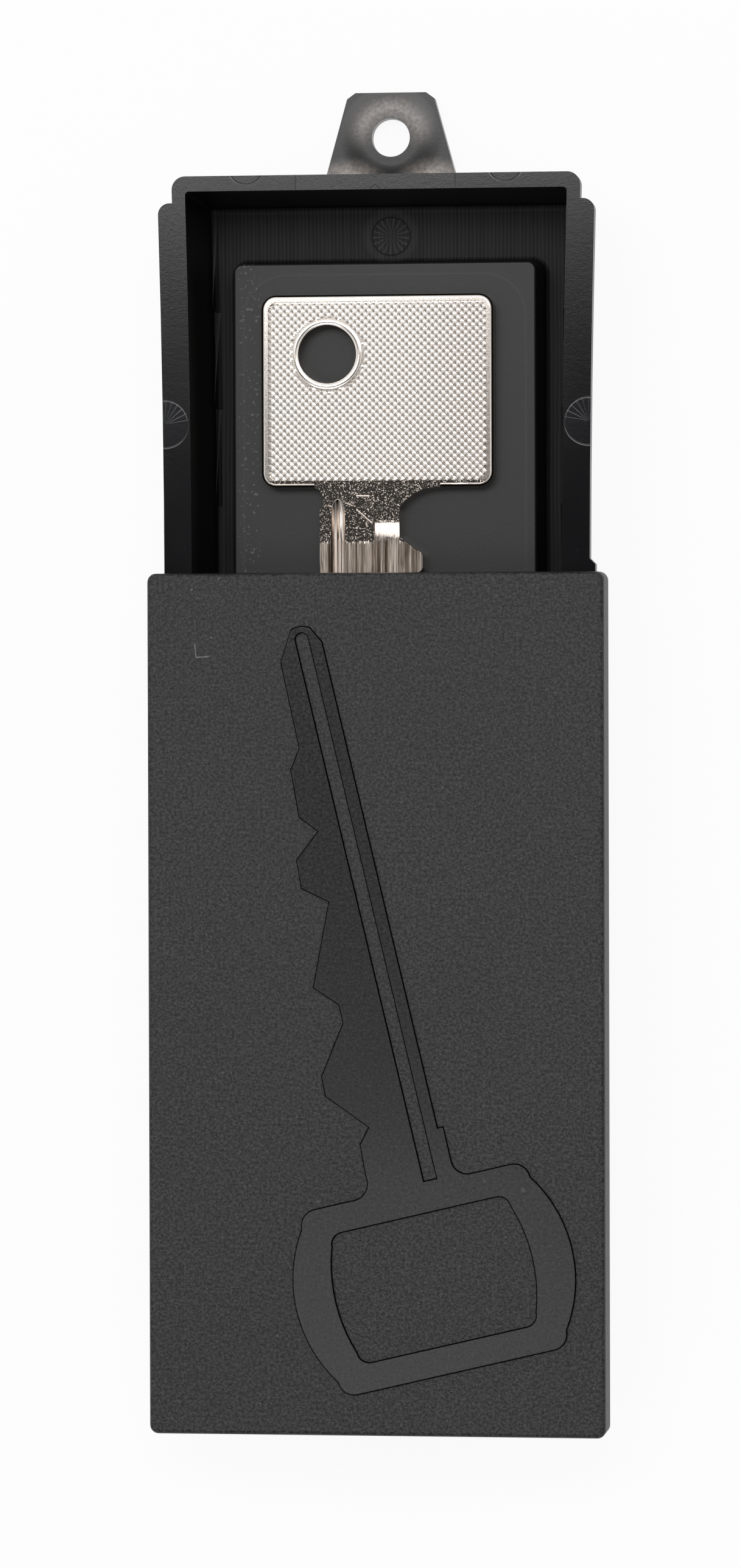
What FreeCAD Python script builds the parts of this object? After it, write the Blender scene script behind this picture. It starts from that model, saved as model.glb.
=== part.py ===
import FreeCAD, Part
import math
import os
import types
import Sketcher

# Magnetic key holder box: a drafted tray with a rail along each long rim, a
# shallow lid that slides on those rails, ferrite magnets on a steel keeper in
# a pocket under the tray's platform, and a spare cylinder key on the platform.
# +Z points out of the lid's face, +Y towards the hang tab, +X to the right.
# The origin is the middle of the magnet face. The lid stands part way open.

# Driving dimensions: millimetres, and degrees for the drafts.
SIZES = {
    # tray
    "tray_length": 89.0,
    "tray_width": 43.1,
    "tray_height": 16.0,
    "side_wall": 1.45,
    "end_wall": 1.6,
    "floor_thickness": 1.6,
    "wall_draft": 3.0,
    "cavity_draft": 2.5,
    "cavity_corner": 0.4,
    "wall_bow": 0.6,
    "tub_corner": 2.5,
    "tub_edge": 0.8,
    "floor_fillet": 0.8,
    # rim and rails
    "rim_thickness": 2.0,
    "rim_overhang": 0.25,
    "rim_corner": 1.4,
    "rail_reach": 1.45,
    "rail_end_gap": 2.8,
    "rail_corner": 1.2,
    "nub_length": 1.9,
    "nub_slope": 0.6,
    "nub_place": 2.3,
    # platform and the pocket beneath it
    "side_well": 4.0,
    "end_well": 7.1,
    "platform_height": 6.4,
    "platform_draft": 5.0,
    "platform_corner": 0.9,
    "platform_edge": 0.25,
    "platform_foot": 0.6,
    "platform_skin": 1.6,
    "pocket_wall": 1.6,
    "pocket_corner": 1.0,
    # hang tab
    "tab_reach": 9.95,
    "tab_root_width": 15.4,
    "tab_tip_width": 9.4,
    "tab_chamfer_width": 0.9,
    "tab_chamfer_length": 0.66,
    "hang_hole_radius": 2.05,
    "hang_hole_reach": 5.15,
    # keeper plate and magnets
    "keeper_thickness": 1.0,
    "keeper_clearance": 0.3,
    "keeper_corner": 1.5,
    "glue_line": 0.1,
    "magnet_gap": 0.3,
    "magnet_chamfer": 0.4,
    # lid
    "lid_wall": 0.8,
    "lid_plate": 1.7,
    "lid_end_wall": 1.0,
    "lid_end_gap": 0.3,
    "lid_draft": 0.8,
    "lid_corner": 0.9,
    "lid_edge": 0.5,
    "slide_gap": 0.2,
    "plate_gap": 0.15,
    "lip_thickness": 1.3,
    "lip_reach": 1.3,
    "lid_open": 41.7,
    # key figure on the lid
    "figure_relief": 0.3,
    "figure_tilt": 13.3,
    "figure_right": 5.8,
    "figure_down": 63.7,
    "bow_width": 24.6,
    "bow_height": 19.85,
    "bow_bulge": 2.55,
    "bow_corner": 1.7,
    "bow_centre": 2.05,
    "bow_side_band": 2.65,
    "bow_end_band": 2.95,
    "bow_window_bulge": 0.95,
    "bow_window_corner": 1.3,
    "slot_width": 1.42,
    "slot_length": 58.3,
    # spare key
    "key_thickness": 2.2,
    "key_left": 0.55,
    "key_down": 12.15,
    "head_width": 24.7,
    "head_height": 20.4,
    "head_corner": 1.6,
    "head_edge": 0.45,
    "head_rim": 0.75,
    "field_depth": 0.18,
    "field_corner": 1.0,
    "key_hole_radius": 3.1,
    "key_bead": 0.6,
    "key_hole_left": 5.3,
    "key_hole_down": 6.3,
    "blade_width": 8.45,
    "blade_left": 1.9,
    "blade_length": 37.4,
    "neck_width": 13.4,
    "neck_length": 2.2,
    "neck_hollow": 0.65,
    "shoulder_down": 5.2,
    "shoulder_length": 3.8,
    "shoulder_reach": 2.45,
    "shoulder_slope": 1.5,
    "shoulder_corner": 0.6,
    "tip_back_width": 3.5,
    "tip_back_length": 1.9,
    "tip_front_width": 3.0,
    "tip_front_length": 1.8,
    "bite_pitch": 4.1,
    "bite_flat": 1.2,
    "cutter_radius": 10.0,
    "groove_depth": 0.9,
    "groove_width": 1.5,
    "groove_round": 0.55,
    "groove_left": 2.3,
    "groove_stop": 5.35,
    "ward_depth": 0.3,
    "ward_width": 2.6,
    "ward_stop": 5.9,
}
MAGNET_NODES = ("magnet_block_upper", "magnet_block_middle", "magnet_block_lower")
BITE_DEPTHS = (1.2, 2.6, 1.8, 3.1, 0.9)
GROUND = -1
QUARTER_BULGE = 1 - math.sqrt(0.5)
NEAR = 0.01

# The figure's blade: its plain edge up from the bow, its tip, and its bitted edge down.
FIGURE_PLAIN_EDGE = ((2.6, 1.7), (2.6, 5.4), (2.0, 5.4), (2.0, 57.6))
FIGURE_TIP = ((1.1, 59.3, 0.25), (-0.9, 59.5), (-2.7, 56.5))
FIGURE_BITTED_EDGE = (
    (-2.9, 47.3), (-4.3, 45.3), (-4.6, 40.3), (-3.0, 38.4), (-5.9, 36.0), (-6.1, 33.0),
    (-3.6, 31.0), (-7.3, 22.6), (-5.1, 20.3), (-5.1, 18.3), (-8.6, 13.4), (-8.7, 11.3),
    (-5.0, 7.1), (-6.3, 5.6))
FIGURE_NECK = 4.3
FIGURE_NECK_CURVE = 0.5
FIGURE_HEEL = ((-6.5, 2.2, -0.8), (-8.6, 0.0))
SLOT_FOOT = 0.3


class Size:
    """A length worked out twice: as a number, and as a formula on the sheet's names."""

    def __init__(self, number, formula):
        self.number = number
        self.formula = formula

    @staticmethod
    def of(value):
        if isinstance(value, Size):
            return value
        return Size(float(value), repr(float(value)))

    def __add__(self, other):
        other = Size.of(other)
        return Size(self.number + other.number, f"({self.formula} + {other.formula})")

    def __sub__(self, other):
        other = Size.of(other)
        return Size(self.number - other.number, f"({self.formula} - {other.formula})")

    def __mul__(self, other):
        other = Size.of(other)
        return Size(self.number * other.number, f"({self.formula} * {other.formula})")

    def __truediv__(self, other):
        other = Size.of(other)
        return Size(self.number / other.number, f"({self.formula} / {other.formula})")

    def __neg__(self):
        return Size(-self.number, f"(0 - {self.formula})")


doc = FreeCAD.newDocument("KeyHolderBox")
sheet = doc.addObject("Spreadsheet::Sheet", "Sizes")
for row, (alias, value) in enumerate(SIZES.items(), start=1):
    sheet.set(f"A{row}", alias.replace("_", " "))
    sheet.set(f"B{row}", str(value))
    sheet.setAlias(f"B{row}", alias)
doc.recompute()
s = types.SimpleNamespace(**{name: Size(value, f"Sizes.{name}") for name, value in SIZES.items()})

# Levels and outlines that several pieces share.
rim_underside = s.tray_height - s.rim_thickness
platform_top = s.floor_thickness + s.platform_height
rail_width = s.tray_width + s.rail_reach * 2
rail_length = s.tray_length - s.rail_end_gap * 2
cavity_width = s.tray_width - s.side_wall * 2
cavity_length = s.tray_length - s.end_wall * 2
platform_width = cavity_width - s.side_well * 2
platform_length = cavity_length - s.end_well * 2
pocket_width = platform_width - s.pocket_wall * 2
pocket_length = platform_length - s.pocket_wall * 2
pocket_depth = platform_top - s.platform_skin
plate_underside = s.tray_height + s.plate_gap
lid_top = plate_underside + s.lid_plate
lid_width = rail_width + (s.slide_gap + s.lid_wall) * 2
lid_length = s.tray_length + s.lid_end_gap + s.lid_end_wall
lip_top = rim_underside - s.plate_gap
lid_bottom = lip_top - s.lip_thickness


def bind(item, path, value):
    """Ties one property of an object to a formula on the sheet."""
    item.setExpression(path, Size.of(value).formula)


def new_body(name):
    """Starts a sub-part whose label is its node's name."""
    body = doc.addObject("PartDesign::Body", name)
    body.Label = name
    return body


def new_sketch(body, name, role="XY_Plane", lift=0.0):
    """Puts a sketch on one of the body's own origin planes, lifted along its normal."""
    sketch = body.newObject("Sketcher::SketchObject", name)
    plane = next(item for item in body.Origin.OriginFeatures if item.Role == role)
    sketch.AttachmentSupport = (plane, [""])
    sketch.MapMode = "FlatFace"
    bind(sketch, "AttachmentOffset.Base.z", lift)
    return sketch


def hold(sketch, kind, geometry, point, value):
    """Ties one coordinate of a point in a sketch to its distance from the origin."""
    value = Size.of(value)
    index = sketch.addConstraint(
        Sketcher.Constraint(kind, GROUND, 1, geometry, point, value.number))
    bind(sketch, f"Constraints[{index}]", value)


def arc_between(start, end, bulge):
    """Returns the arc from start to end that stands out by bulge to the right of the way."""
    along = end - start
    outwards = FreeCAD.Vector(along.y, -along.x, 0).normalize()
    radius = along.Length ** 2 / (8 * abs(bulge)) + abs(bulge) / 2
    inset = math.copysign(radius, bulge) - bulge
    centre = (start + end) * 0.5 - outwards * inset
    circle = Part.Circle(centre, FreeCAD.Vector(0, 0, 1), radius)
    angles = [math.atan2((point - centre).y, (point - centre).x) for point in (start, end)]
    if bulge < 0:
        angles.reverse()
    return Part.ArcOfCircle(circle, *angles)


def draw_outline(sketch, corners):
    """Draws a closed outline. A corner is x, y and the bulge of the side that leaves it.

    A side with a bulge is an arc that stands out by that much to the right of the
    way the outline runs, and a negative bulge is an arc that dips in to the left.
    """
    corners = [tuple(Size.of(number) for number in corner) for corner in corners]
    first = sketch.GeometryCount
    count = len(corners)
    ends = []
    for index, corner in enumerate(corners):
        following = corners[(index + 1) % count]
        start = FreeCAD.Vector(corner[0].number, corner[1].number, 0)
        end = FreeCAD.Vector(following[0].number, following[1].number, 0)
        if len(corner) == 2:
            sketch.addGeometry(Part.LineSegment(start, end), False)
            ends.append((1, 2))
            continue
        sketch.addGeometry(arc_between(start, end, corner[2].number), False)
        ends.append((1, 2) if corner[2].number > 0 else (2, 1))
    for index in range(count):
        after = (index + 1) % count
        sketch.addConstraint(Sketcher.Constraint(
            "Coincident", first + index, ends[index][1], first + after, ends[after][0]))
    for index, corner in enumerate(corners):
        following = corners[(index + 1) % count]
        hold(sketch, "DistanceX", first + index, ends[index][0], corner[0])
        hold(sketch, "DistanceY", first + index, ends[index][0], corner[1])
        if len(corner) == 3:
            reach_x = following[0] - corner[0]
            reach_y = following[1] - corner[1]
            sagitta = corner[2] if corner[2].number > 0 else -corner[2]
            chord_squared = reach_x * reach_x + reach_y * reach_y
            radius = chord_squared / (sagitta * 8) + sagitta / 2
            held = sketch.addConstraint(
                Sketcher.Constraint("Radius", first + index, radius.number))
            bind(sketch, f"Constraints[{held}]", radius)


def draw_box(sketch, width, length, bow=None, top=None):
    """Draws a centred rectangle, or one that hangs from top. Its long sides may bow in."""
    right = width / 2
    top = length / 2 if top is None else Size.of(top)
    bottom = top - length
    if bow is None:
        corners = [(right, bottom), (right, top), (-right, top), (-right, bottom)]
    else:
        corners = [(right, bottom, -bow), (right, top), (-right, top, -bow), (-right, bottom)]
    draw_outline(sketch, corners)


def draw_circle(sketch, x, y, radius):
    """Draws a circle whose centre and radius are tied to formulas."""
    x, y, radius = Size.of(x), Size.of(y), Size.of(radius)
    centre = FreeCAD.Vector(x.number, y.number, 0)
    index = sketch.addGeometry(
        Part.Circle(centre, FreeCAD.Vector(0, 0, 1), radius.number), False)
    hold(sketch, "DistanceX", index, 3, x)
    hold(sketch, "DistanceY", index, 3, y)
    held = sketch.addConstraint(Sketcher.Constraint("Radius", index, radius.number))
    bind(sketch, f"Constraints[{held}]", radius)


def extrude(kind, body, name, sketch, length, reverse=False):
    """Pads or pockets a sketch, checks that it changed the solid, and returns the feature."""
    before = body.Shape.Volume if body.Tip else 0.0
    feature = body.newObject(f"PartDesign::{kind}", name)
    feature.Profile = sketch
    feature.Reversed = reverse
    bind(feature, "Length", length)
    sketch.Visibility = False
    doc.recompute()
    grew = body.Shape.Volume > before
    if grew != (kind == "Pad") or body.Shape.Volume == before:
        raise RuntimeError(f"{name} did not change its solid as it should")
    return feature


def pick_edges(feature, wanted):
    """Names the edges of a feature for which wanted says yes."""
    edges = feature.Shape.Edges
    return [f"Edge{number}" for number, edge in enumerate(edges, start=1) if wanted(edge)]


def pick_faces(feature, wanted):
    """Names the faces of a feature for which wanted says yes."""
    faces = feature.Shape.Faces
    return [f"Face{number}" for number, face in enumerate(faces, start=1) if wanted(face)]


def stands(face):
    """True for an upright face, flat or curved."""
    middle = [sum(face.ParameterRange[:2]) / 2, sum(face.ParameterRange[2:]) / 2]
    return abs(face.normalAt(*middle).z) < NEAR


def slope_walls(body, name, feature, angle, level, up, wanted=stands):
    """Drafts the walls for which wanted says yes, so that a mould half slides off them.

    The half goes up or down, and the walls keep their outline at the level given.
    """
    walls = pick_faces(feature, wanted)
    if not walls:
        raise RuntimeError(f"{name} found no wall")
    draft = body.newObject("PartDesign::Draft", name)
    draft.Base = (feature, walls)
    draft.NeutralPlane = (feature, pick_faces(feature, lambda face: lies_at(face, level))[:1])
    draft.Reversed = not up
    bind(draft, "Angle", angle)
    doc.recompute()
    return draft


def round_edges(body, name, feature, radius, wanted):
    """Fillets the edges of a feature for which wanted says yes."""
    names = pick_edges(feature, wanted)
    if not names:
        raise RuntimeError(f"{name} found no edge")
    fillet = body.newObject("PartDesign::Fillet", name)
    fillet.Base = (feature, names)
    bind(fillet, "Radius", radius)
    doc.recompute()
    return fillet


def lies_at(piece, height):
    """True for an edge or face that lies flat at this height."""
    level = Size.of(height).number
    box = piece.BoundBox
    return abs(box.ZMin - level) < NEAR and abs(box.ZMax - level) < NEAR


def rises_to(edge, height):
    """True for an upright corner edge whose top is at this height."""
    box = edge.BoundBox
    upright = box.ZLength > max(box.XLength, box.YLength)
    return upright and abs(box.ZMax - Size.of(height).number) < NEAR


def spans_levels(face, low, high):
    """True for an upright face between these two heights."""
    box = face.BoundBox
    return (stands(face) and abs(box.ZMin - Size.of(low).number) < NEAR
            and abs(box.ZMax - Size.of(high).number) < NEAR)


def spans_inside(edge, width, length):
    """True for an edge that keeps inside a centred rectangle of this width and length."""
    box = edge.BoundBox
    across = max(abs(box.XMin), abs(box.XMax))
    along = max(abs(box.YMin), abs(box.YMax))
    return across < width.number / 2 and along < length.number / 2


def make_tray():
    """The moulded tray: a drafted tub with a rim, rails, platform, pocket and hang tab."""
    body = new_body("tray")

    # tub, from under the rim down to the back face
    sketch = new_sketch(body, "tub_outline", lift=rim_underside)
    draw_box(sketch, s.tray_width - s.rim_overhang * 2, s.tray_length - s.rim_overhang * 2,
             bow=s.wall_bow)
    tub = extrude("Pad", body, "tub", sketch, rim_underside, reverse=True)
    tub = round_edges(body, "tub_corners", tub, s.tub_corner,
                      lambda edge: rises_to(edge, rim_underside))
    tub = slope_walls(body, "tub_slope", tub, s.wall_draft, rim_underside, up=False)
    round_edges(body, "tub_back_edge", tub, s.tub_edge, lambda edge: lies_at(edge, 0))

    # rim band, then the rails that the lid runs on
    sketch = new_sketch(body, "rim_outline", lift=rim_underside)
    draw_box(sketch, s.tray_width, s.tray_length, bow=s.wall_bow)
    rim = extrude("Pad", body, "rim", sketch, s.rim_thickness)
    round_edges(body, "rim_corners", rim, s.rim_corner,
                lambda edge: rises_to(edge, s.tray_height))
    sketch = new_sketch(body, "rail_outline", lift=rim_underside)
    draw_box(sketch, rail_width, rail_length, bow=s.wall_bow)
    rails = extrude("Pad", body, "rails", sketch, s.rim_thickness)
    round_edges(body, "rail_corners", rails, s.rail_corner,
                lambda edge: rises_to(edge, s.tray_height)
                and abs(edge.BoundBox.Center.x) > s.tray_width.number / 2)

    # nub on the right rail, level with the rail's straight outer line
    sketch = new_sketch(body, "nub_outline", lift=rim_underside)
    inside = rail_width / 2 - s.wall_bow * 2
    outside = rail_width / 2
    top = s.nub_place + s.nub_length
    draw_outline(sketch, [(inside, s.nub_place), (outside, s.nub_place),
                          (outside, top - s.nub_slope), (inside, top + s.nub_slope)])
    extrude("Pad", body, "nub", sketch, s.rim_thickness)

    # cavity, open at the rim
    sketch = new_sketch(body, "cavity_outline", lift=s.tray_height)
    draw_box(sketch, cavity_width, cavity_length, bow=s.wall_bow)
    cavity = extrude("Pocket", body, "cavity", sketch, s.tray_height - s.floor_thickness)
    cavity = slope_walls(body, "cavity_slope", cavity, s.cavity_draft, s.tray_height, up=True,
                         wanted=lambda face: spans_levels(face, s.floor_thickness, s.tray_height))
    cavity = round_edges(body, "cavity_corners", cavity, s.cavity_corner,
                         lambda edge: rises_to(edge, s.tray_height)
                         and abs(edge.BoundBox.ZMin - s.floor_thickness.number) < NEAR)
    round_edges(body, "cavity_foot", cavity, s.floor_fillet,
                lambda edge: lies_at(edge, s.floor_thickness))

    # platform that the key lies on
    sketch = new_sketch(body, "platform_outline", lift=platform_top)
    draw_box(sketch, platform_width, platform_length)
    platform = extrude("Pad", body, "platform", sketch, s.platform_height, reverse=True)
    platform = round_edges(body, "platform_corners", platform, s.platform_corner,
                           lambda edge: rises_to(edge, platform_top))
    platform = slope_walls(body, "platform_slope", platform, s.platform_draft, platform_top,
                           up=True,
                           wanted=lambda face: spans_levels(face, s.floor_thickness, platform_top))
    between_width = (platform_width + cavity_width) / 2
    between_length = (platform_length + cavity_length) / 2
    platform = round_edges(body, "platform_foot", platform, s.platform_foot,
                           lambda edge: lies_at(edge, s.floor_thickness)
                           and spans_inside(edge, between_width, between_length))
    round_edges(body, "platform_edge", platform, s.platform_edge,
                lambda edge: lies_at(edge, platform_top))

    # magnet pocket under the platform
    sketch = new_sketch(body, "pocket_outline")
    draw_box(sketch, pocket_width, pocket_length)
    pocket = extrude("Pocket", body, "pocket", sketch, pocket_depth, reverse=True)
    round_edges(body, "pocket_corners", pocket, s.pocket_corner,
                lambda edge: rises_to(edge, pocket_depth))

    # hang tab, level with the back face
    sketch = new_sketch(body, "tab_outline")
    root = s.tray_length / 2 - s.end_wall
    edge_line = s.tray_length / 2
    tip = edge_line + s.tab_reach
    shoulder = tip - s.tab_chamfer_length
    half_root = s.tab_root_width / 2
    half_tip = s.tab_tip_width / 2
    half_flat = half_tip - s.tab_chamfer_width
    draw_outline(sketch, [(half_root, root), (half_tip, shoulder), (half_flat, tip),
                          (-half_flat, tip), (-half_tip, shoulder), (-half_root, root)])
    extrude("Pad", body, "tab", sketch, s.floor_thickness)
    sketch = new_sketch(body, "hang_hole_outline")
    draw_circle(sketch, 0, edge_line + s.hang_hole_reach, s.hang_hole_radius)
    extrude("Pocket", body, "hang_hole", sketch, s.floor_thickness, reverse=True)
    return body


def draw_key_figure(sketch):
    """Draws the raised key: a blade with a bitted edge, a slot, and a bow with a window."""
    left = -(s.bow_centre + s.bow_width / 2)
    right = s.bow_width / 2 - s.bow_centre
    low = -s.bow_height
    corner = s.bow_corner
    soft = corner * QUARTER_BULGE
    draw_outline(sketch, [
        (left + corner, low),
        (right - corner, low, soft),
        (right, low + corner, s.bow_bulge),
        (right, -corner, soft),
        (right - corner, 0),
        (FIGURE_NECK, 0, -FIGURE_NECK_CURVE),
        *FIGURE_PLAIN_EDGE,
        *FIGURE_TIP,
        *FIGURE_BITTED_EDGE,
        *FIGURE_HEEL,
        (left + corner, 0, soft),
        (left, -corner, s.bow_bulge),
        (left, low + corner, soft),
    ])
    window_left = left + s.bow_side_band
    window_right = right - s.bow_side_band
    window_low = low + s.bow_end_band
    window_top = -s.bow_end_band
    corner = s.bow_window_corner
    soft = corner * QUARTER_BULGE
    draw_outline(sketch, [
        (window_left + corner, window_low),
        (window_right - corner, window_low, soft),
        (window_right, window_low + corner, s.bow_window_bulge),
        (window_right, window_top - corner, soft),
        (window_right - corner, window_top),
        (window_left + corner, window_top, soft),
        (window_left, window_top - corner, s.bow_window_bulge),
        (window_left, window_low + corner, soft),
    ])
    half_slot = s.slot_width / 2
    draw_outline(sketch, [
        (-half_slot, SLOT_FOOT),
        (half_slot, SLOT_FOOT),
        (half_slot, s.slot_length, half_slot * (1 - NEAR)),
        (-half_slot, s.slot_length),
    ])


def make_lid():
    """The moulded lid: a plate with a channel that takes the rails, and a raised figure."""
    body = new_body("lid")
    sketch = new_sketch(body, "lid_outline", lift=lid_top)
    draw_box(sketch, lid_width, lid_length, top=0)
    block = extrude("Pad", body, "lid_block", sketch, lid_top - lid_bottom, reverse=True)
    block = round_edges(body, "lid_corners", block, s.lid_corner,
                        lambda edge: rises_to(edge, lid_top))
    block = slope_walls(body, "lid_slope", block, s.lid_draft, lid_top, up=True)
    round_edges(body, "lid_face_edge", block, s.lid_edge, lambda edge: lies_at(edge, lid_top))

    # channel for the rails, open at the mouth and shut by the far end wall; the cut
    # starts clear of the mouth, whose face leans
    sketch = new_sketch(body, "channel_outline", role="XZ_Plane", lift=-s.lid_wall)
    channel = rail_width / 2 + s.slide_gap
    between_lips = channel - s.lip_reach
    below = lid_bottom - s.lip_thickness
    draw_outline(sketch, [(between_lips, below), (between_lips, lip_top), (channel, lip_top),
                          (channel, plate_underside), (-channel, plate_underside),
                          (-channel, lip_top), (-between_lips, lip_top), (-between_lips, below)])
    extrude("Pocket", body, "channel", sketch, s.lid_wall + lid_length - s.lid_end_wall,
            reverse=True)

    # key figure standing proud of the lid's face
    sketch = new_sketch(body, "figure_outline", lift=lid_top)
    bind(sketch, "AttachmentOffset.Base.x", s.figure_right)
    bind(sketch, "AttachmentOffset.Base.y", -s.figure_down)
    bind(sketch, "AttachmentOffset.Rotation.Angle", s.figure_tilt)
    draw_key_figure(sketch)
    extrude("Pad", body, "figure", sketch, s.figure_relief)
    bind(body, "Placement.Base.y", s.tray_length / 2 - s.lid_open)
    return body


def make_keeper():
    """The flat steel keeper glued to the roof of the pocket."""
    body = new_body("keeper_plate")
    sketch = new_sketch(body, "keeper_outline")
    draw_box(sketch, pocket_width - s.keeper_clearance * 2,
             pocket_length - s.keeper_clearance * 2)
    plate = extrude("Pad", body, "keeper", sketch, s.keeper_thickness)
    round_edges(body, "keeper_corners", plate, s.keeper_corner,
                lambda edge: rises_to(edge, s.keeper_thickness))
    bind(body, "Placement.Base.z", pocket_depth - s.glue_line - s.keeper_thickness)
    return body


def make_magnets():
    """Ferrite blocks in a row on the keeper, with their free faces level with the back."""
    count = len(MAGNET_NODES)
    width = pocket_width - s.keeper_clearance * 2
    row = pocket_length - s.keeper_clearance * 2
    pitch = (row + s.magnet_gap) / count
    height = pocket_depth - s.glue_line * 2 - s.keeper_thickness
    bodies = []
    for index, name in enumerate(MAGNET_NODES):
        body = new_body(name)
        sketch = new_sketch(body, f"{name}_outline")
        draw_box(sketch, width, pitch - s.magnet_gap)
        block = extrude("Pad", body, f"{name}_block", sketch, height)
        chamfer = body.newObject("PartDesign::Chamfer", f"{name}_edges")
        chamfer.Base = (block, pick_edges(block, lambda edge: rises_to(edge, height)))
        bind(chamfer, "Size", s.magnet_chamfer)
        bind(body, "Placement.Base.y", pitch * ((count - 1) / 2 - index))
        bodies.append(body)
    return bodies


def blade_corners():
    """The corners of the neck and blade: flare, back, tip, bitted edge and shoulder."""
    right = s.blade_width / 2 - s.blade_left
    left = -(s.blade_width / 2 + s.blade_left)
    root = -s.head_height
    neck = root - s.neck_length
    shoulder = root - s.shoulder_down
    stop = shoulder - s.shoulder_length
    stop_right = right + s.shoulder_reach
    soft = s.shoulder_corner
    tip = root - s.blade_length
    half_neck = s.neck_width / 2
    corners = [
        (-half_neck, root + s.head_rim),
        (-half_neck, root, -s.neck_hollow),
        (left, neck),
        (left, tip + s.tip_back_length),
        (left + s.tip_back_width, tip),
        (right - s.tip_front_width, tip),
        (right - BITE_DEPTHS[-1], tip + s.tip_front_length),
    ]
    place = stop - s.bite_pitch * (len(BITE_DEPTHS) + 1) + s.bite_flat / 2
    for depth in reversed(BITE_DEPTHS):
        place = place + s.bite_pitch
        corners.append((right - depth, place - s.bite_flat / 2))
        corners.append((right - depth, place + s.bite_flat / 2))
    corners += [
        (right, stop - s.bite_flat),
        (right, stop),
        (stop_right - soft, stop, soft * QUARTER_BULGE),
        (stop_right, stop + soft),
        (stop_right, shoulder - s.shoulder_slope - soft, soft * QUARTER_BULGE),
        (stop_right - soft, shoulder - s.shoulder_slope),
        (right, shoulder),
        (right, neck, -s.neck_hollow),
        (half_neck, root),
        (half_neck, root + s.head_rim),
    ]
    return corners


def mill(body, name, left, right, depth, stop, roundness=0.0, below=False):
    """Mills a slot in the blade with a disc cutter, from the tip to a stop.

    The cutter turns about an axis across the blade and lifts straight out at the stop,
    so the slot ends in the cutter's own curve. A roundness gives its edge a crown.
    """
    side = -1 if below else 1
    face = Size.of(0) if below else s.key_thickness
    axis = face + (s.cutter_radius - depth) * side
    clear = (depth - s.cutter_radius + s.key_thickness / 2) * side
    crown = Size.of(roundness)
    edge = (crown - s.cutter_radius) * side
    bottom = (left, edge, crown * side) if crown.number else (left, edge)
    sketch = new_sketch(body, f"{name}_section", role="XZ_Plane", lift=s.head_height + stop)
    bind(sketch, "AttachmentOffset.Base.y", axis)
    draw_outline(sketch, [(left, clear), bottom, (right, edge), (right, clear)])
    extrude("Pocket", body, name, sketch, s.blade_length, reverse=True)
    before = body.Shape.Volume
    lift_out = body.newObject("PartDesign::Groove", f"{name}_end")
    lift_out.Profile = sketch
    lift_out.ReferenceAxis = (sketch, ["H_Axis"])
    doc.recompute()
    if not body.Shape.Volume < before:
        raise RuntimeError(f"{name}_end cut nothing")


def make_key():
    """The spare key: a stamped head with a rim, a beaded hole, and a milled, bitted blade."""
    body = new_body("spare_key")
    sketch = new_sketch(body, "head_outline")
    draw_box(sketch, s.head_width, s.head_height, top=0)
    head = extrude("Pad", body, "head", sketch, s.key_thickness)
    head = round_edges(body, "head_corners", head, s.head_corner,
                       lambda edge: rises_to(edge, s.key_thickness))
    round_edges(body, "head_edges", head, s.head_edge,
                lambda edge: lies_at(edge, 0) or lies_at(edge, s.key_thickness))
    sketch = new_sketch(body, "blade_outline")
    draw_outline(sketch, blade_corners())
    extrude("Pad", body, "blade", sketch, s.key_thickness)

    # sunk field on both faces, inside the rim and around the hole's bead
    for face, lift, reverse in (("front", s.key_thickness, False), ("back", 0, True)):
        sketch = new_sketch(body, f"{face}_field_outline", lift=lift)
        right = s.head_width / 2 - s.head_rim
        low = s.head_rim - s.head_height
        cut = s.field_corner
        soft = cut * QUARTER_BULGE
        draw_outline(sketch, [
            (-right + cut, low), (right - cut, low, soft), (right, low + cut),
            (right, -(s.head_rim + cut), soft), (right - cut, -s.head_rim),
            (-right + cut, -s.head_rim, soft), (-right, -(s.head_rim + cut)),
            (-right, low + cut, soft)])
        draw_circle(sketch, -s.key_hole_left, -s.key_hole_down,
                    s.key_hole_radius + s.key_bead)
        extrude("Pocket", body, f"{face}_field", sketch, s.field_depth, reverse=reverse)
    sketch = new_sketch(body, "key_hole_outline")
    draw_circle(sketch, -s.key_hole_left, -s.key_hole_down, s.key_hole_radius)
    extrude("Pocket", body, "key_hole", sketch, s.key_thickness, reverse=True)

    # milled slots: a groove beside the back edge, a ward along the bitted edge, and a
    # groove underneath
    groove_right = -(s.blade_left + s.groove_left - s.groove_width / 2)
    mill(body, "groove", groove_right - s.groove_width, groove_right, s.groove_depth,
         s.groove_stop, s.groove_round)
    ward_right = s.blade_width / 2 - s.blade_left
    mill(body, "ward", ward_right - s.ward_width, ward_right, s.ward_depth, s.ward_stop)
    mill(body, "under_groove", -s.blade_left, s.groove_width - s.blade_left, s.groove_depth,
         s.ward_stop, s.groove_round, below=True)
    bind(body, "Placement.Base.x", -s.key_left)
    bind(body, "Placement.Base.y", s.tray_length / 2 - s.key_down)
    bind(body, "Placement.Base.z", platform_top)
    return body


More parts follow.
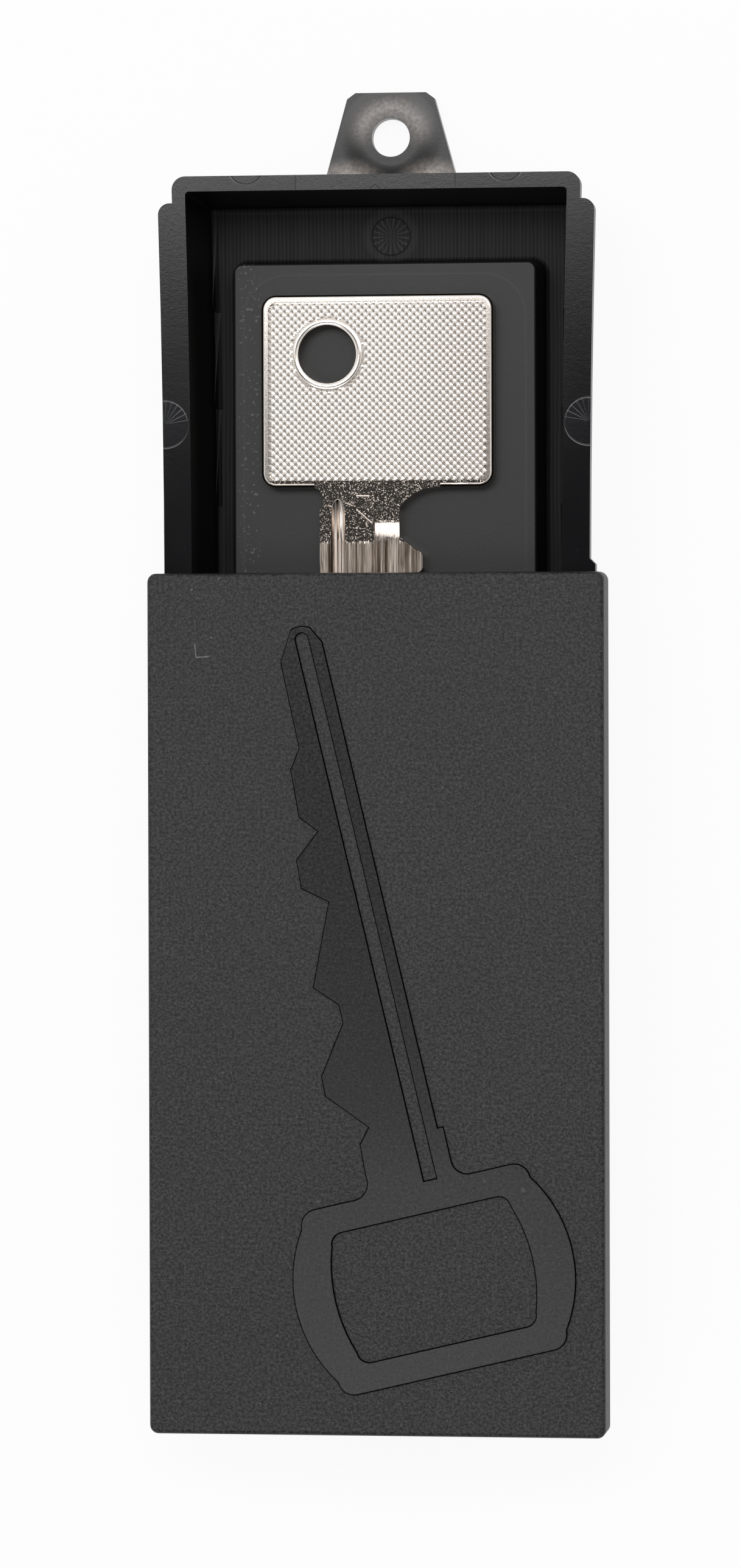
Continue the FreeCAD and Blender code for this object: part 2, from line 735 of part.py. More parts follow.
def check_and_export(bodies):
    """Refuses a failed feature or a bad solid, then writes one STEP file for each node."""
    doc.recompute()
    for item in doc.Objects:
        if "Invalid" in item.State or "Error" in item.State:
            raise RuntimeError(f"{item.Name} failed: {item.State}")
    for body in bodies:
        if body.Shape.isNull() or not body.Shape.isValid() or len(body.Shape.Solids) != 1:
            raise RuntimeError(f"{body.Label} is not one valid solid")
    os.makedirs("parts", exist_ok=True)
    for body in bodies:
        body.Shape.exportStep(f"parts/{body.Label}.step")
        box = body.Shape.BoundBox
        print(f"{body.Label}: volume {body.Shape.Volume:.1f} mm3, "
              f"x {box.XMin:.2f} {box.XMax:.2f}, y {box.YMin:.2f} {box.YMax:.2f}, "
              f"z {box.ZMin:.2f} {box.ZMax:.2f}")


check_and_export([make_tray(), make_lid(), make_keeper(), *make_magnets(), make_key()])
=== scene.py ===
import bmesh
import bpy
import math
import numpy as np
from mathutils import Matrix, Vector


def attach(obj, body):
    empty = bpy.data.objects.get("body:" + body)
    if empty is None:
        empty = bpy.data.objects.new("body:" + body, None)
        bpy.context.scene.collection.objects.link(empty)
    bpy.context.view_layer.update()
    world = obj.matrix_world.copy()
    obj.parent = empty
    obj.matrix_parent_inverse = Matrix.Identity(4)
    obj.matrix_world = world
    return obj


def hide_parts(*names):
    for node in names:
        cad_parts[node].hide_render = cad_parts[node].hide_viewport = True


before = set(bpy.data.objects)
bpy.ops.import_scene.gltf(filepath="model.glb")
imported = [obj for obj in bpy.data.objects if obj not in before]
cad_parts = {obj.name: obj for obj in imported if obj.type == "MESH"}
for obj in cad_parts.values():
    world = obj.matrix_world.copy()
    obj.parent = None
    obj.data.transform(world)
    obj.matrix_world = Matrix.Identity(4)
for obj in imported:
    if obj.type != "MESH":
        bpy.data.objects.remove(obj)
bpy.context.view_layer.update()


# ---------------------------------------------------------------- tray
# Injection-moulded black plastic: a drafted tub with a rim, two rails, a
# raised platform and a hang tab. The core side still shows its milling lines,
# the round marks of the ejector pins and the seam of the gate insert.

MM = 0.001


class Signal:
    """A number or vector that runs between shader nodes; arithmetic on it adds Math nodes."""

    def __init__(self, nodes, socket):
        self.nodes = nodes
        self.socket = socket

    def maths(self, operation, *others):
        return self.nodes.node("ShaderNodeMath", {"operation": operation},
                               dict(enumerate((self, *others))))

    def __add__(self, other):
        return self.maths("ADD", other)

    def __sub__(self, other):
        return self.maths("SUBTRACT", other)

    def __mul__(self, other):
        return self.maths("MULTIPLY", other)

    def __truediv__(self, other):
        return self.maths("DIVIDE", other)

    def __rsub__(self, other):
        return self.nodes.node("ShaderNodeMath", {"operation": "SUBTRACT"}, {0: other, 1: self})

    __radd__ = __add__
    __rmul__ = __mul__

    def size(self):
        return self.maths("ABSOLUTE")


class Nodes:
    """A node tree, of a material or of the world."""

    def __init__(self, tree):
        self.tree = tree

    def node(self, kind, settings, inputs, output=0):
        """Adds a node, sets it up, fills or links its sockets and returns one output.

        A ramp's stops are given as pairs of a position and a colour, the first at 0.
        """
        node = self.tree.nodes.new(kind)
        for name, value in settings.items():
            if name == "stops":
                ramp = node.color_ramp.elements
                ramp.remove(ramp[1])
                ramp[0].color = value[0][1]
                for position, colour in value[1:]:
                    ramp.new(position).color = colour
            else:
                setattr(node, name, value)
        for name, value in inputs.items():
            if isinstance(value, Signal):
                self.tree.links.new(value.socket, node.inputs[name])
            else:
                node.inputs[name].default_value = value
        return Signal(self, node.outputs[output]) if node.outputs else None


class Finish(Nodes):
    """One material: its node tree, its main shader, and where a point lies in millimetres."""

    def __init__(self, name):
        self.material = bpy.data.materials.new(name)
        self.material.use_nodes = True
        super().__init__(self.material.node_tree)
        self.shader = self.tree.nodes["Principled BSDF"]
        self.place = self.node("ShaderNodeTexCoord", {}, {}, "Object")
        split = self.node("ShaderNodeSeparateXYZ", {}, {0: self.place}).socket.node
        self.x, self.y, self.z = (Signal(self, socket) / MM for socket in split.outputs)

    def feed(self, **sockets):
        """Sets or links sockets of the main shader; an underscore stands for a space."""
        for name, value in sockets.items():
            socket = self.shader.inputs[name.replace("_", " ")]
            if isinstance(value, Signal):
                self.tree.links.new(value.socket, socket)
            else:
                socket.default_value = value

    def rise(self, value, low, high):
        """Goes smoothly from 0 where the value is low to 1 where it is high."""
        return self.node("ShaderNodeMapRange", {"interpolation_type": "SMOOTHSTEP"},
                         {"Value": value, "From Min": low, "From Max": high})

    def between(self, value, low, high, soft):
        """Is 1 from low to high and falls to 0 over a soft edge on either side."""
        return (self.rise(value, low - soft, low + soft)
                * (1 - self.rise(value, high - soft, high + soft)))

    def apart(self, across, along):
        """The length of a step across and along, in millimetres."""
        return (across * across + along * along).maths("SQRT")

    def stroke(self, start, end, width):
        """Is 1 along a straight line between two points, in millimetres."""
        length = math.dist(start, end)
        step_x, step_y = (end[0] - start[0]) / length, (end[1] - start[1]) / length
        across, along = self.x - start[0], self.y - start[1]
        beside = (across * step_y - along * step_x).size()
        return (self.between(across * step_x + along * step_y, 0.0, length, width / 2)
                * (1 - self.rise(beside, width * 0.2, width * 0.8)))

    def colour(self, share, first, second):
        """Blends two colours; a share of 1 gives the second."""
        return self.node("ShaderNodeMix", {"data_type": "RGBA"},
                         {0: share, 6: first, 7: second}, 2)

    def noise(self, cells, detail=2.0, roughness=0.5):
        """Cloudy noise from 0 to 1; cells is how many fit into a metre, or three such numbers."""
        cells = cells if isinstance(cells, tuple) else (cells, cells, cells)
        place = self.node("ShaderNodeMapping", {}, {"Vector": self.place, "Scale": cells})
        return self.node("ShaderNodeTexNoise", {},
                         {"Vector": place, "Scale": 1.0, "Detail": detail,
                          "Roughness": roughness})

    def black(self, shade, tint):
        """A colour that is a tint made as dark as the shade says."""
        dark = self.node("ShaderNodeCombineColor", {}, {0: shade, 1: shade, 2: shade})
        return self.node("ShaderNodeMix", {"data_type": "RGBA", "blend_type": "MULTIPLY"},
                         {0: 1.0, 6: tint, 7: dark}, 2)

    def relief(self, height):
        """Feeds a height in millimetres to the shader as a bump."""
        self.feed(Normal=self.node("ShaderNodeBump", {}, {"Height": height, "Distance": MM}))


def grey(level, warmth=0.0):
    """A neutral colour; warmth lifts red and lowers blue by that share."""
    return (level * (1 + warmth), level, level * (1 - warmth), 1.0)


# the first is a length in millimetres, the others are angles in degrees
SAME_POINT = 0.002
SAME_PLANE = 0.03
EASED_FROM = 50.0


def eased_copy(node, name, body, finish, ease, sharp=28.0, clamp=True):
    """A copy of a CAD node that is merged, shaded smooth, and eased along its sharp edges.

    Triangles in one plane are joined first, so that the easing runs along real edges,
    and the normals are weighted by area, so that flat faces stay flat in the light. The
    ease is in millimetres and sharp in degrees. With clamp on, the easing is held back
    to what the shortest edges have room for.
    """
    shell = bmesh.new()
    shell.from_mesh(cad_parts[node].data)
    bmesh.ops.remove_doubles(shell, verts=shell.verts, dist=SAME_POINT * MM)
    bmesh.ops.dissolve_limit(shell, angle_limit=math.radians(SAME_PLANE), verts=shell.verts,
                             edges=shell.edges)
    mesh = bpy.data.meshes.new(name)
    shell.to_mesh(mesh)
    shell.free()
    for left_over in ("custom_normal", "sharp_face"):
        if left_over in mesh.attributes:
            mesh.attributes.remove(mesh.attributes[left_over])
    mesh.shade_smooth()
    mesh.set_sharp_from_angle(angle=math.radians(sharp))
    mesh.materials.clear()
    mesh.materials.append(finish)
    piece = bpy.data.objects.new(name, mesh)
    bpy.context.scene.collection.objects.link(piece)
    bevel = piece.modifiers.new("eased_edges", "BEVEL")
    bevel.limit_method = "ANGLE"
    bevel.angle_limit = math.radians(EASED_FROM)
    bevel.width = ease * MM
    bevel.segments = 2
    bevel.use_clamp_overlap = clamp
    weighted = piece.modifiers.new("flat_faces", "WEIGHTED_NORMAL")
    weighted.keep_sharp = True
    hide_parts(node)
    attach(piece, body)
    return piece


# in millimetres: spans of height, half widths with half lengths, and the marks' places
RIM_TOP = 16.0
FLOOR_SPAN = (1.3, 2.0)
PLATFORM_SPAN = (7.3, 8.6)
CAVITY = (20.2, 43.0)
FLOOR = (19.3, 42.2)
PLATFORM = (16.2, 35.9)
WELL_PIN_Y = 39.1
RAIL_PIN = (22.3, 18.5)
SLEEVE = (13.65, 45.4)
INSERT_HALF = 8.4
TAB_ROOT = 44.7
HANG_HOLE_Y = 49.65
MILLING_STEP = 0.41


def tray_finish():
    """Black plastic: matt platform, milled floor, smoother rim, rails and tab.

    Each mask is 1 on its part of the tray and 0 elsewhere; sizes are in millimetres.
    """
    plastic = Finish("tray_plastic")
    x, y, z = plastic.x, plastic.y, plastic.z
    side, end = x.size(), y.size()
    cloud = plastic.noise(60.0, 3.0)
    fine = plastic.noise(9000.0, 2.0, 0.6)
    coarse = plastic.noise(2600.0, 3.0, 0.6)
    streak = plastic.noise((2200.0, 45.0, 45.0), 2.0, 0.55)

    cavity = (plastic.between(z, FLOOR_SPAN[0], RIM_TOP - 0.1, 0.05)
              * (1 - plastic.rise(side, CAVITY[0], CAVITY[0] + 0.1))
              * (1 - plastic.rise(end, CAVITY[1], CAVITY[1] + 0.1)))
    platform = (plastic.between(z, *PLATFORM_SPAN, 0.2)
                * (1 - plastic.rise(side, PLATFORM[0], PLATFORM[0] + 0.3))
                * (1 - plastic.rise(end, PLATFORM[1], PLATFORM[1] + 0.3)))
    floor = (plastic.between(z, *FLOOR_SPAN, 0.1)
             * (1 - plastic.rise(side, FLOOR[0], FLOOR[0] + 0.6))
             * (1 - plastic.rise(end, FLOOR[1], FLOOR[1] + 0.5)))
    rim = plastic.rise(z, RIM_TOP - 0.2, RIM_TOP - 0.05)
    tab = plastic.rise(y, TAB_ROOT - 0.1, TAB_ROOT + 0.1) * (1 - plastic.rise(z, 1.7, 2.0))

    # ejector pins: one in the floor of each end well and two pairs on the rails
    pin_place = plastic.apart(x, end - WELL_PIN_Y)
    pin = (1 - plastic.rise(pin_place, 1.95, 2.05)) * floor
    pin_ring = plastic.between(pin_place, 1.98, 2.10, 0.05) * floor
    pin_halo = plastic.between(pin_place, 2.1, 2.9, 0.3) * floor
    turn = x.maths("ARCTAN2", end - WELL_PIN_Y)
    spokes = plastic.rise((turn * 17.0 + cloud * 9.0).maths("SINE"), 0.35, 1.0) * pin
    rail_place = plastic.apart(side - RAIL_PIN[0], end - RAIL_PIN[1])
    rail_pin = (1 - plastic.rise(rail_place, 2.48, 2.55)) * rim
    rail_ring = plastic.between(rail_place, 2.42, 2.55, 0.05) * rim
    rail_turn = (end - RAIL_PIN[1]).maths("ARCTAN2", RAIL_PIN[0] - side)
    fan = (plastic.rise((rail_turn * 23.0 + cloud * 8.0).maths("SINE"), 0.45, 1.0)
           * plastic.between(rail_turn, 0.1, 2.1, 0.3) * rail_pin)

    # the rim's ends: the edges of two sleeves, the gate insert's seam and the gate's mark
    sleeve_place = plastic.apart(side - SLEEVE[0], end - SLEEVE[1])
    sleeve = plastic.between(sleeve_place, 1.80, 1.92, 0.06) * rim
    insert_seam = (plastic.between(side, INSERT_HALF - 0.04, INSERT_HALF + 0.04, 0.04)
                   * rim * plastic.rise(end, 42.0, 42.5))
    insert = (1 - plastic.rise(side, INSERT_HALF - 0.1, INSERT_HALF + 0.05)) * rim
    gate = (plastic.rise(0.55 - side - (end - 43.0).size() * 1.2, 0.0, 0.06)
            + plastic.rise(0.55 - side - (end - 44.5).size() * 1.6, 0.0, 0.06)) * rim

    # the hang hole's shallow boss; stress whitening with painted highlight in an arch over the
    # hole and in the tab's two root corners
    hole = plastic.apart(x, y - HANG_HOLE_Y)
    boss = (1 - plastic.rise(hole, 2.9, 5.6)) * tab
    arch = (plastic.between(hole, 2.3, 3.9, 1.3) * plastic.rise(y, 48.0, 51.5) * tab)
    root_place = ((side - 4.6) * (side - 4.6) * 0.4 + (y - 44.9) * (y - 44.9)).maths("SQRT")
    root = (1 - plastic.rise(root_place, 0.3, 3.0)) * tab

    # milling lines in the floor, pits and ripples on the platform, and dust
    milled = ((x * (2 * math.pi / MILLING_STEP) + cloud * 5.0).maths("SINE") * 0.5
              + (streak - 0.5) * 1.6) * floor
    pits = (plastic.rise(coarse, 0.60, 0.66) * platform
            * plastic.between(x, -15.4, -13.2, 0.6) * plastic.rise(y, -12.0, 12.0))
    ripple = plastic.between((side - 10.5).maths("MAXIMUM", 0.0).maths("POWER", 2.0)
                             + (end - 30.0).maths("MAXIMUM", 0.0).maths("POWER", 2.0),
                             19.5, 21.5, 1.0) * platform
    dust = plastic.rise(plastic.noise(1500.0, 2.0, 0.5), 0.74, 0.77)

    # painted shade: the cavity mask takes most of the colour out of the tub's inside, darkest on
    # its walls, for the shade deep in the tub
    shade = (0.010 - cavity * 0.0088 + platform * 0.0118 + floor * 0.0100 - rim * 0.004
             + tab * 0.013 + insert * 0.004)
    shade = shade * (0.72 + cloud * 0.35 + (fine - 0.5) * (0.3 + platform * 0.5))
    shade = shade * (1 + milled * 1.3).maths("MAXIMUM", 0.1)
    shade = shade + (pits * 0.08 + dust * 0.012 + ripple * 0.007 + spokes * 0.035
                     + pin * 0.003 + pin_halo * 0.012 + rail_pin * 0.003 + rail_ring * 0.010
                     + fan * 0.020 + sleeve * 0.03 + insert_seam * 0.012)
    shade = shade * (1 - gate * 0.6) * (1 - pin_ring * 0.8)
    tint = plastic.colour(rim * 0.8, grey(1.0, 0.01), (0.93, 0.95, 1.12, 1.0))
    tint = plastic.colour(insert * 0.8, tint, grey(1.0, 0.06))
    # stress whitening and painted highlight: the arch over the hole and the root corners are
    # lightened towards a pale warm colour
    bloom_and_highlight = (arch * 1.1 + root * 1.8) * (0.75 + (coarse - 0.5) * 1.6)
    tone = plastic.colour((bloom_and_highlight * 0.36).maths("MINIMUM", 0.55), plastic.black(shade, tint),
                          (0.75, 0.66, 0.60, 1.0))
    rough = (0.34 + cavity * 0.10 - platform * 0.06 + floor * 0.20 - rim * 0.21 - tab * 0.08
             + (cloud - 0.5) * 0.08 + (fine - 0.5) * 0.06)
    plastic.feed(Base_Color=tone, Roughness=rough, Specular_IOR_Level=0.32)
    plastic.relief(fine * 0.0035 + coarse * (0.0030 + tab * 0.002 + platform * 0.002)
                   + milled * 0.0045 + boss * 0.22 + streak * rim * 0.004
                   - pin_ring * 0.03 - rail_ring * 0.012 - sleeve * 0.015 - insert_seam * 0.012
                   - gate * 0.05 + spokes * 0.003 + fan * 0.003 + ripple * 0.002)
    return plastic.material


eased_copy("tray", "moulded_tray", "box", tray_finish(), 0.10)


# ---------------------------------------------------------------- magnet pack
# Three sintered ferrite blocks with ground faces, glued to a rolled steel
# keeper in the pocket under the platform.

def ferrite_finish():
    """Dark grey ceramic with fine grinding lines across each block and small chipped pores."""
    ferrite = Finish("ferrite")
    ground = ferrite.noise((260.0, 7000.0, 7000.0), 3.0, 0.6)
    pore = ferrite.rise(ferrite.noise(2400.0, 2.0, 0.5), 0.70, 0.74)
    ferrite.feed(Metallic=0.35, Roughness=0.34 + ground * 0.2 + pore * 0.3,
                 Base_Color=ferrite.colour(ground * 0.7 + pore * 0.3, grey(0.045, -0.03),
                                           grey(0.11, -0.02)))
    ferrite.relief(ground * 0.004 - pore * 0.03)
    return ferrite.material


ferrite = ferrite_finish()
for block in ("magnet_block_upper", "magnet_block_middle", "magnet_block_lower"):
    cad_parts[block].material_slots[0].material = ferrite


def keeper_finish():
    """Cold-rolled steel with rolling lines along the plate and a little staining."""
    steel = Finish("keeper_steel")
    rolled = steel.noise((5000.0, 60.0, 5000.0), 3.0, 0.6)
    stain = steel.noise(150.0, 4.0, 0.6)
    steel.feed(Metallic=1.0, Roughness=0.26 + rolled * 0.16 + stain * 0.1,
               Base_Color=steel.colour(steel.rise(stain, 0.45, 0.7), grey(0.50, 0.01),
                                       grey(0.36, 0.05)))
    steel.relief(rolled * 0.002)
    return steel.material


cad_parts["keeper_plate"].material_slots[0].material = keeper_finish()


# ---------------------------------------------------------------- lid
# Injection-moulded black plastic. The face has a spark-eroded grain, the raised
# key figure is finer and darker, and the walls and the inside are smooth.

# levels and places in millimetres; a scratch has a start, an end and a width
LID_FACE = 17.85
FIGURE_TOP = 18.15
BOW_FROM = (-62.0, -52.0)
LID_SCRATCHES = (((-18.95, -4.5), (-18.8, -6.0), 0.12), ((-18.8, -6.0), (-17.4, -5.9), 0.13),
                 ((-16.5, 2.2), (-16.2, 2.3), 0.1), ((-19.3, 1.0), (-19.2, 1.15), 0.14),
                 ((-17.3, -3.9), (-17.05, -3.95), 0.1))


def lid_finish():
    """Black plastic with a grained face, a finer raised figure and a dark line round it.

    The line is the shadow along the figure's eased edge: a near-black colour that
    reflects nothing, which is why Metallic rises there.
    """
    plastic = Finish("lid_plastic")
    y, z = plastic.y, plastic.z
    face = plastic.rise(z, LID_FACE - 0.35, LID_FACE - 0.1)
    figure = plastic.rise(z, FIGURE_TOP - 0.03, FIGURE_TOP - 0.005)
    flank = plastic.rise(z, LID_FACE + 0.01, LID_FACE + 0.03) * (1 - figure)
    grain = plastic.noise(3300.0, 3.0, 0.8)
    fine = plastic.noise(11000.0, 1.0, 0.5)
    cloud = plastic.noise(45.0, 3.0, 0.55)
    fleck = plastic.rise(plastic.noise(3900.0, 2.0, 0.7), 0.66, 0.74)
    speck = plastic.rise(plastic.noise(900.0, 1.0, 0.5), 0.79, 0.81)
    scratch = sum(plastic.stroke(*mark) for mark in LID_SCRATCHES) * face

    # painted reflection: the raised figure is made lighter towards its bow end
    bow = 1 - plastic.rise(y, *BOW_FROM)
    shade = (0.0190 - (1 - face) * 0.006 - figure * (0.0070 - bow * 0.0092)
             + (cloud - 0.5) * 0.006)
    shade = shade * (1 + face * (1 - figure * 0.6) * ((grain - 0.5) * 9.0 + fleck * 2.5)
                     + (fine - 0.5) * 0.8) * (1 - flank * 0.95)
    shade = shade.maths("MAXIMUM", 0.001) + speck * face * 0.03 + scratch * 0.10
    tone = plastic.node("ShaderNodeCombineColor", {}, {0: shade * 1.01, 1: shade, 2: shade})
    plastic.feed(Base_Color=tone, Roughness=0.50 + (grain - 0.5) * 0.3 - figure * 0.26,
                 Metallic=flank * 0.85, Specular_IOR_Level=0.34)
    plastic.relief(grain * face * (1 - figure * 0.9) * 0.080 + fine * 0.004)
    return plastic.material


eased_copy("lid", "moulded_lid", "lid", lid_finish(), 0.11, clamp=False)


# ---------------------------------------------------------------- spare key
# Stamped and milled brass, nickel plated: a coined head with a polished rim, a
# speckled neck, and slots whose disc cutter left brown and bright streaks.

# in millimetres: the bead's middle radius with its half width, and where the neck ends
KEY_HOLE = (-5.85, 26.05)
KEY_BEAD = (3.44, 0.34)
NECK_END = (12.62, 12.72)
KEY_BOTTOM = 8.0
KEY_TOP = 10.2
FIELD_DEPTH = 0.18
KEY_SCUFFS = (((-2.72, 11.04), (-1.49, 11.03), 0.12), ((-2.73, 9.56), (-1.11, 8.14), 0.10),
              ((-3.9, 10.3), (-3.2, 10.0), 0.08))


def key_finish():
    """Nickel over brass: polished head, speckled neck and streaked milling on the blade.

    The skin is the stamped faces, and the arch slot the round-ended one at the left,
    whose hollow grows with the square of the distance from its right edge.
    """
    nickel = Finish("key_nickel")
    x, y, z = nickel.x, nickel.y, nickel.z
    speckle = nickel.noise(8200.0, 3.0, 0.65)
    streak = nickel.noise((4800.0, 50.0, 50.0), 3.0, 0.7)
    band = nickel.noise((1500.0, 25.0, 25.0), 2.0, 0.5)
    cloud = nickel.noise(160.0, 3.0, 0.5)
    blade = 1 - nickel.rise(y, *NECK_END)
    off_middle = (z - (KEY_BOTTOM + KEY_TOP) / 2).size()
    skin = nickel.rise(off_middle, 1.07, 1.09)
    slot = blade * (1 - skin)
    milled = blade * (1 - skin * nickel.rise(y, 5.9, 6.4))
    run = milled * (1 - nickel.rise(y, 6.2, 6.8))
    hole = nickel.apart(x - KEY_HOLE[0], y - KEY_HOLE[1])
    bore = (1 - nickel.rise(hole, 3.12, 3.2)) * (1 - skin)
    across_bead = (hole - KEY_BEAD[0]) / KEY_BEAD[1]
    bead = (1 - across_bead * across_bead).maths("MAXIMUM", 0.0) * skin * (1 - blade)
    neck = blade * (1 - milled)
    arch_slot = slot * (1 - nickel.rise(x, -3.45, -3.35))
    across_slot = (x + 3.5) / 0.75
    hollow = (across_slot * across_slot).maths("MINIMUM", 3.8) * arch_slot
    fleck = nickel.rise(nickel.noise(7600.0, 3.0, 0.8), 0.605, 0.655) * neck
    groove = (1 - blade) * (1 - nickel.rise(off_middle, 0.925, 0.95))
    scuff = sum(nickel.stroke(*mark) for mark in KEY_SCUFFS) * neck

    clean = nickel.colour(cloud, (0.73, 0.69, 0.65, 1.0), (0.77, 0.70, 0.63, 1.0))
    clean = nickel.colour(blade * 0.5, clean, (0.74, 0.62, 0.54, 1.0))
    # painted shade: the head's colour darkens towards its right side
    clean = nickel.colour(nickel.rise(x, 0.0, 11.0) * (1 - blade) * 0.5, clean,
                          (0.52, 0.46, 0.42, 1.0))
    brown = nickel.colour(nickel.rise(band, 0.35, 0.65), (0.09, 0.06, 0.04, 1.0),
                          (0.52, 0.44, 0.37, 1.0))
    stained = run * (1 - arch_slot * 0.8) * nickel.rise(streak, 0.30, 0.52)
    tone = nickel.colour(stained, clean, brown)
    # painted shade: the hole's wall is coloured dark brown
    tone = nickel.colour(bore * 0.8, tone, (0.34, 0.26, 0.18, 1.0))
    # painted shade: the knurl's groove bottoms and the head's sides are given a darker colour
    tone = nickel.colour(groove * (1 - bore) * 0.30, tone, (0.16, 0.13, 0.11, 1.0))
    nickel.feed(Metallic=1.0, Base_Color=tone,
                Roughness=(0.15 - neck * 0.09 - milled * 0.03 + fleck * 0.42
                           + (speckle - 0.5) * (0.10 - neck * 0.06)))
    nickel.relief(speckle * (0.0016 - blade * 0.0014) + fleck * 0.003 + scuff * 0.03
                  + bead * 0.07 + hollow * 0.11
                  + (streak - 0.5) * (milled * 0.020 + run * 0.080 - arch_slot * 0.050)
                  + (band - 0.5) * milled * 0.05)
    return nickel.material


key_metal = key_finish()
eased_copy("spare_key", "cylinder_key", "key", key_metal, 0.05)


def knurled_field(name, floor, outward):
    """The coined diamond pattern in one sunk field of the head.

    The surface is a grid on two diagonals: u falls to the right and v climbs to the
    right. Each diagonal carries a row of lands, 0 in a flat groove and 1 on a land's
    point. The height over the field's floor is the crown times the lesser of v's
    row and of u's row squeezed to run from the saddle to 1. It is 0 beside the rim
    and the hole's bead, and the lift keeps the sheet off the floor.
    """
    crown, pitch, saddle, lift = 0.100, 0.557, 0.4, 0.002
    margin, bead, corner = 0.08, 3.85, 0.9
    left, right, low, high = -12.15, 11.05, 12.7, 31.6
    phases = np.array([0.07, 0.5, 0.93])
    row = np.array([0.0, 1.0, 0.0])
    reach = math.hypot(right - left, high - low) / 2
    cells = np.arange(-math.ceil(reach / pitch), math.ceil(reach / pitch))
    along = ((cells[:, None] + phases) * pitch).ravel()
    lands = np.tile(row, len(cells))
    u, v = np.meshgrid(along, along, indexing="ij")
    land_u, land_v = np.meshgrid(lands, lands, indexing="ij")
    x = (left + right) / 2 + (u + v) / math.sqrt(2)
    y = (low + high) / 2 + (v - u) / math.sqrt(2)
    to_edge = np.minimum.reduce([x - left, right - x, y - low, high - y])
    to_bead = np.hypot(x - KEY_HOLE[0], y - KEY_HOLE[1]) - bead
    over_x = np.maximum(np.abs(x - (left + right) / 2) - (right - left) / 2 + corner, 0)
    over_y = np.maximum(np.abs(y - (low + high) / 2) - (high - low) / 2 + corner, 0)
    to_corner = corner - np.hypot(over_x, over_y)
    inside = np.minimum.reduce([to_edge, to_bead, to_corner]) > margin
    height = crown * np.minimum(land_v, saddle + (1 - saddle) * land_u) * inside
    z = floor + outward * (lift + height)
    count = len(along)
    number = np.arange(count * count).reshape(count, count)
    quads = np.stack([number[:-1, :-1], number[1:, :-1], number[1:, 1:], number[:-1, 1:]], -1)
    kept = inside[:-1, :-1] | inside[1:, :-1] | inside[1:, 1:] | inside[:-1, 1:]
    quads = quads[kept][:, ::outward]
    used, quads = np.unique(quads, return_inverse=True)
    points = np.stack([x.ravel(), y.ravel(), z.ravel()], -1)[used] * MM
    mesh = bpy.data.meshes.new(name)
    mesh.from_pydata(points, [], quads.reshape(-1, 4))
    mesh.materials.append(key_metal)
    piece = bpy.data.objects.new(name, mesh)
    bpy.context.scene.collection.objects.link(piece)
    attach(piece, "key")


knurled_field("knurl_front", KEY_TOP - FIELD_DEPTH, 1)
knurled_field("knurl_back", KEY_BOTTOM + FIELD_DEPTH, -1)


# ---------------------------------------------------------------- floor, light, camera
# A pale table under a soft dome that is dark overhead, with a bright softbox
# behind the hang tab and a small one in front.

def make_floor():
    """A pale floor that reads as white to the camera and still takes the object's shadow."""
    reach, level = 3.0, -0.0001
    mesh = bpy.data.meshes.new("floor")
    mesh.from_pydata([(-reach, -reach, level), (reach, -reach, level),
                      (reach, reach, level), (-reach, reach, level)], [], [(0, 1, 2, 3)])
    floor = bpy.data.objects.new("floor", mesh)
    bpy.context.scene.collection.objects.link(floor)
    paper = Finish("floor_paper")
    paper.feed(Base_Color=grey(0.8), Roughness=0.9, Specular_IOR_Level=0.0)
    seen = paper.node("ShaderNodeLightPath", {}, {}, "Is Camera Ray")
    for ray in ("Is Glossy Ray", "Is Transmission Ray"):
        seen = seen.maths("MAXIMUM", paper.node("ShaderNodeLightPath", {}, {}, ray))
    glow = paper.node("ShaderNodeEmission", {}, {"Color": grey(1.0), "Strength": 1.0})
    shine = Signal(paper, paper.shader.outputs[0])
    mixed = paper.node("ShaderNodeMixShader", {}, {0: seen * 0.92, 1: shine, 2: glow})
    paper.tree.links.new(mixed.socket, paper.tree.nodes["Material Output"].inputs["Surface"])
    mesh.materials.append(paper.material)


OVERHEAD = Vector((-0.12, 0.0, 1.0)).normalized()
FRONT = Vector((0.35, -0.94, 0.0)).normalized()
DOME_LEVELS = ((0.0, 0.30), (0.30, 0.45), (0.52, 1.0), (0.88, 1.05), (0.94, 0.60),
               (0.972, 0.08), (1.0, 0.04))


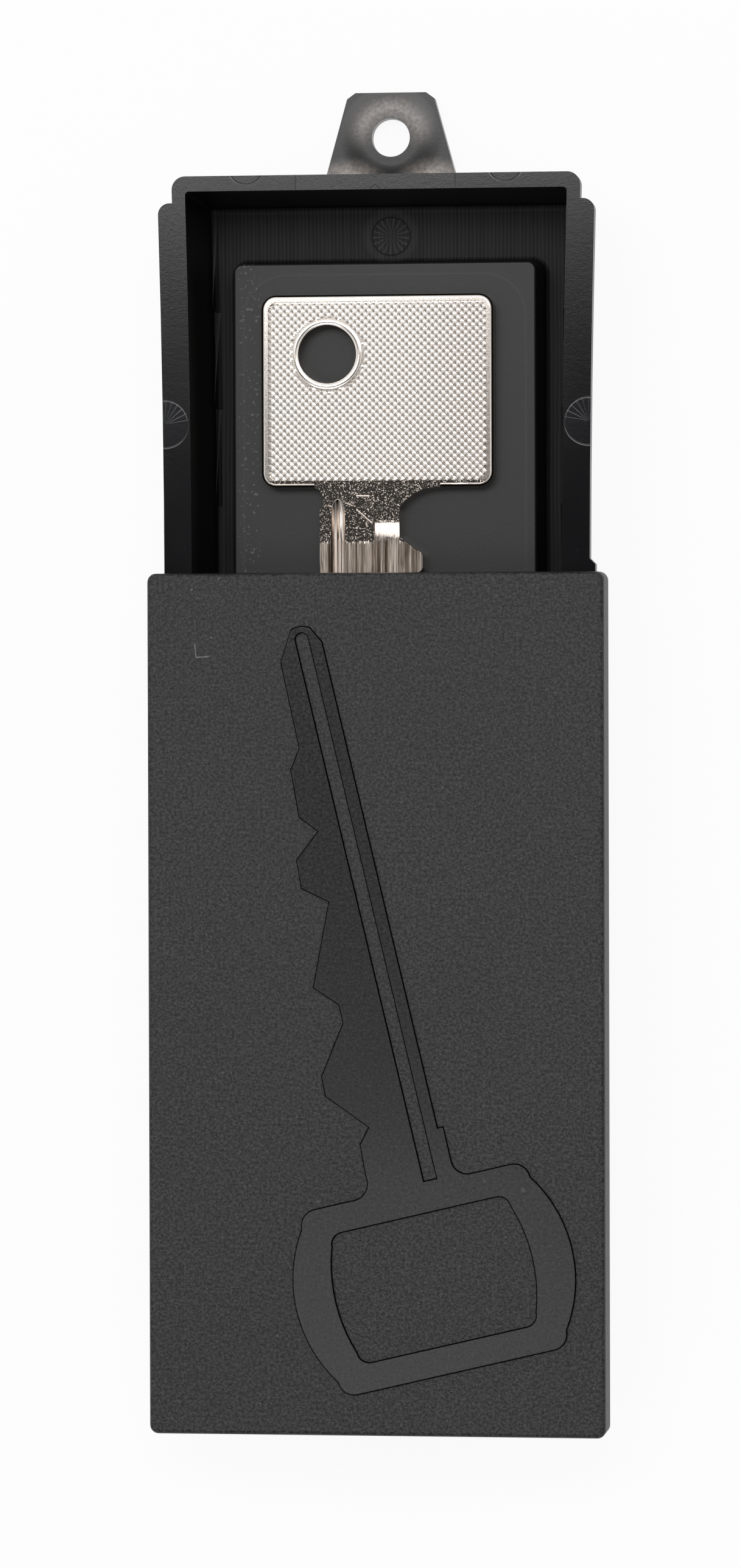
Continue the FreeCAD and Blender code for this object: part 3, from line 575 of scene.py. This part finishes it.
def make_dome():
    """The sky: grey in a spot just left of overhead, white round it, darker low down.

    The levels run over the cosine of the angle from overhead. The front is dimmer than
    the rest, so that what leans that way reads as shade. Past the floor's edge the
    camera sees the same white as on the floor.
    """
    world = bpy.data.worlds.new("studio_dome")
    bpy.context.scene.world = world
    world.use_nodes = True
    world.node_tree.nodes.clear()
    sky = Nodes(world.node_tree)
    ray = sky.node("ShaderNodeTexCoord", {}, {}, "Generated")
    upward, forward = (sky.node("ShaderNodeVectorMath", {"operation": "DOT_PRODUCT"},
                                {0: ray, 1: way}, "Value") for way in (OVERHEAD, FRONT))
    stops = [(height, grey(level)) for height, level in DOME_LEVELS]
    ramp = sky.node("ShaderNodeValToRGB", {"stops": stops}, {0: upward})
    dim = sky.node("ShaderNodeMapRange", {"interpolation_type": "SMOOTHSTEP"},
                   {"Value": forward, "From Min": 0.15, "From Max": 0.75,
                    "To Min": 1.0, "To Max": 0.22})
    dome = sky.node("ShaderNodeBackground", {}, {"Color": ramp, "Strength": dim})
    white = sky.node("ShaderNodeBackground", {}, {"Color": grey(0.97)})
    seen = sky.node("ShaderNodeLightPath", {}, {}, "Is Camera Ray")
    mixed = sky.node("ShaderNodeMixShader", {}, {0: seen, 1: dome, 2: white})
    sky.node("ShaderNodeOutputWorld", {}, {"Surface": mixed})


def softbox(name, place, size, brightness):
    """A rectangular lamp turned towards the box; its power is brightness times pi times area."""
    lamp = bpy.data.lights.new(name, "AREA")
    lamp.shape = "RECTANGLE"
    lamp.size, lamp.size_y = size
    lamp.energy = brightness * math.pi * size[0] * size[1]
    holder = bpy.data.objects.new(name, lamp)
    holder.location = place
    holder.rotation_euler = Vector(place).to_track_quat("Z", "Y").to_euler()
    bpy.context.scene.collection.objects.link(holder)


LENS = 134.9
CAMERA_DISTANCE = 0.6314
CAMERA_YAW = math.radians(6.808)
CAMERA_PITCH = math.radians(-0.798)
CAMERA_ROLL = math.radians(-0.164)
CAMERA_TARGET = Vector((-0.00257, -0.01953, 0.0))


def make_camera():
    """A long lens straight above, a little to the right of the box."""
    lens = bpy.data.cameras.new("studio_camera")
    lens.sensor_width = 36.0
    lens.lens = LENS
    lens.clip_start = 0.01
    lens.clip_end = 20.0
    level = math.cos(CAMERA_PITCH)
    back = Vector((math.sin(CAMERA_YAW) * level, -math.sin(CAMERA_PITCH),
                   math.cos(CAMERA_YAW) * level))
    right = Vector((0.0, 1.0, 0.0)).cross(back).normalized()
    up = back.cross(right)
    turned_right = right * math.cos(CAMERA_ROLL) + up * math.sin(CAMERA_ROLL)
    turned_up = up * math.cos(CAMERA_ROLL) - right * math.sin(CAMERA_ROLL)
    turn = Matrix((turned_right, turned_up, back)).transposed().to_4x4()
    camera = bpy.data.objects.new("studio_camera", lens)
    camera.matrix_world = Matrix.Translation(CAMERA_TARGET + back * CAMERA_DISTANCE) @ turn
    bpy.context.scene.collection.objects.link(camera)
    bpy.context.scene.camera = camera


make_floor()
make_dome()
softbox("softbox_behind", (-0.02, 0.226, 0.80), (0.60, 0.22), 6.0)
softbox("softbox_front", (-0.09, -0.245, 0.80), (0.34, 0.26), 2.0)
make_camera()
bpy.context.scene.view_settings.view_transform = "Standard"
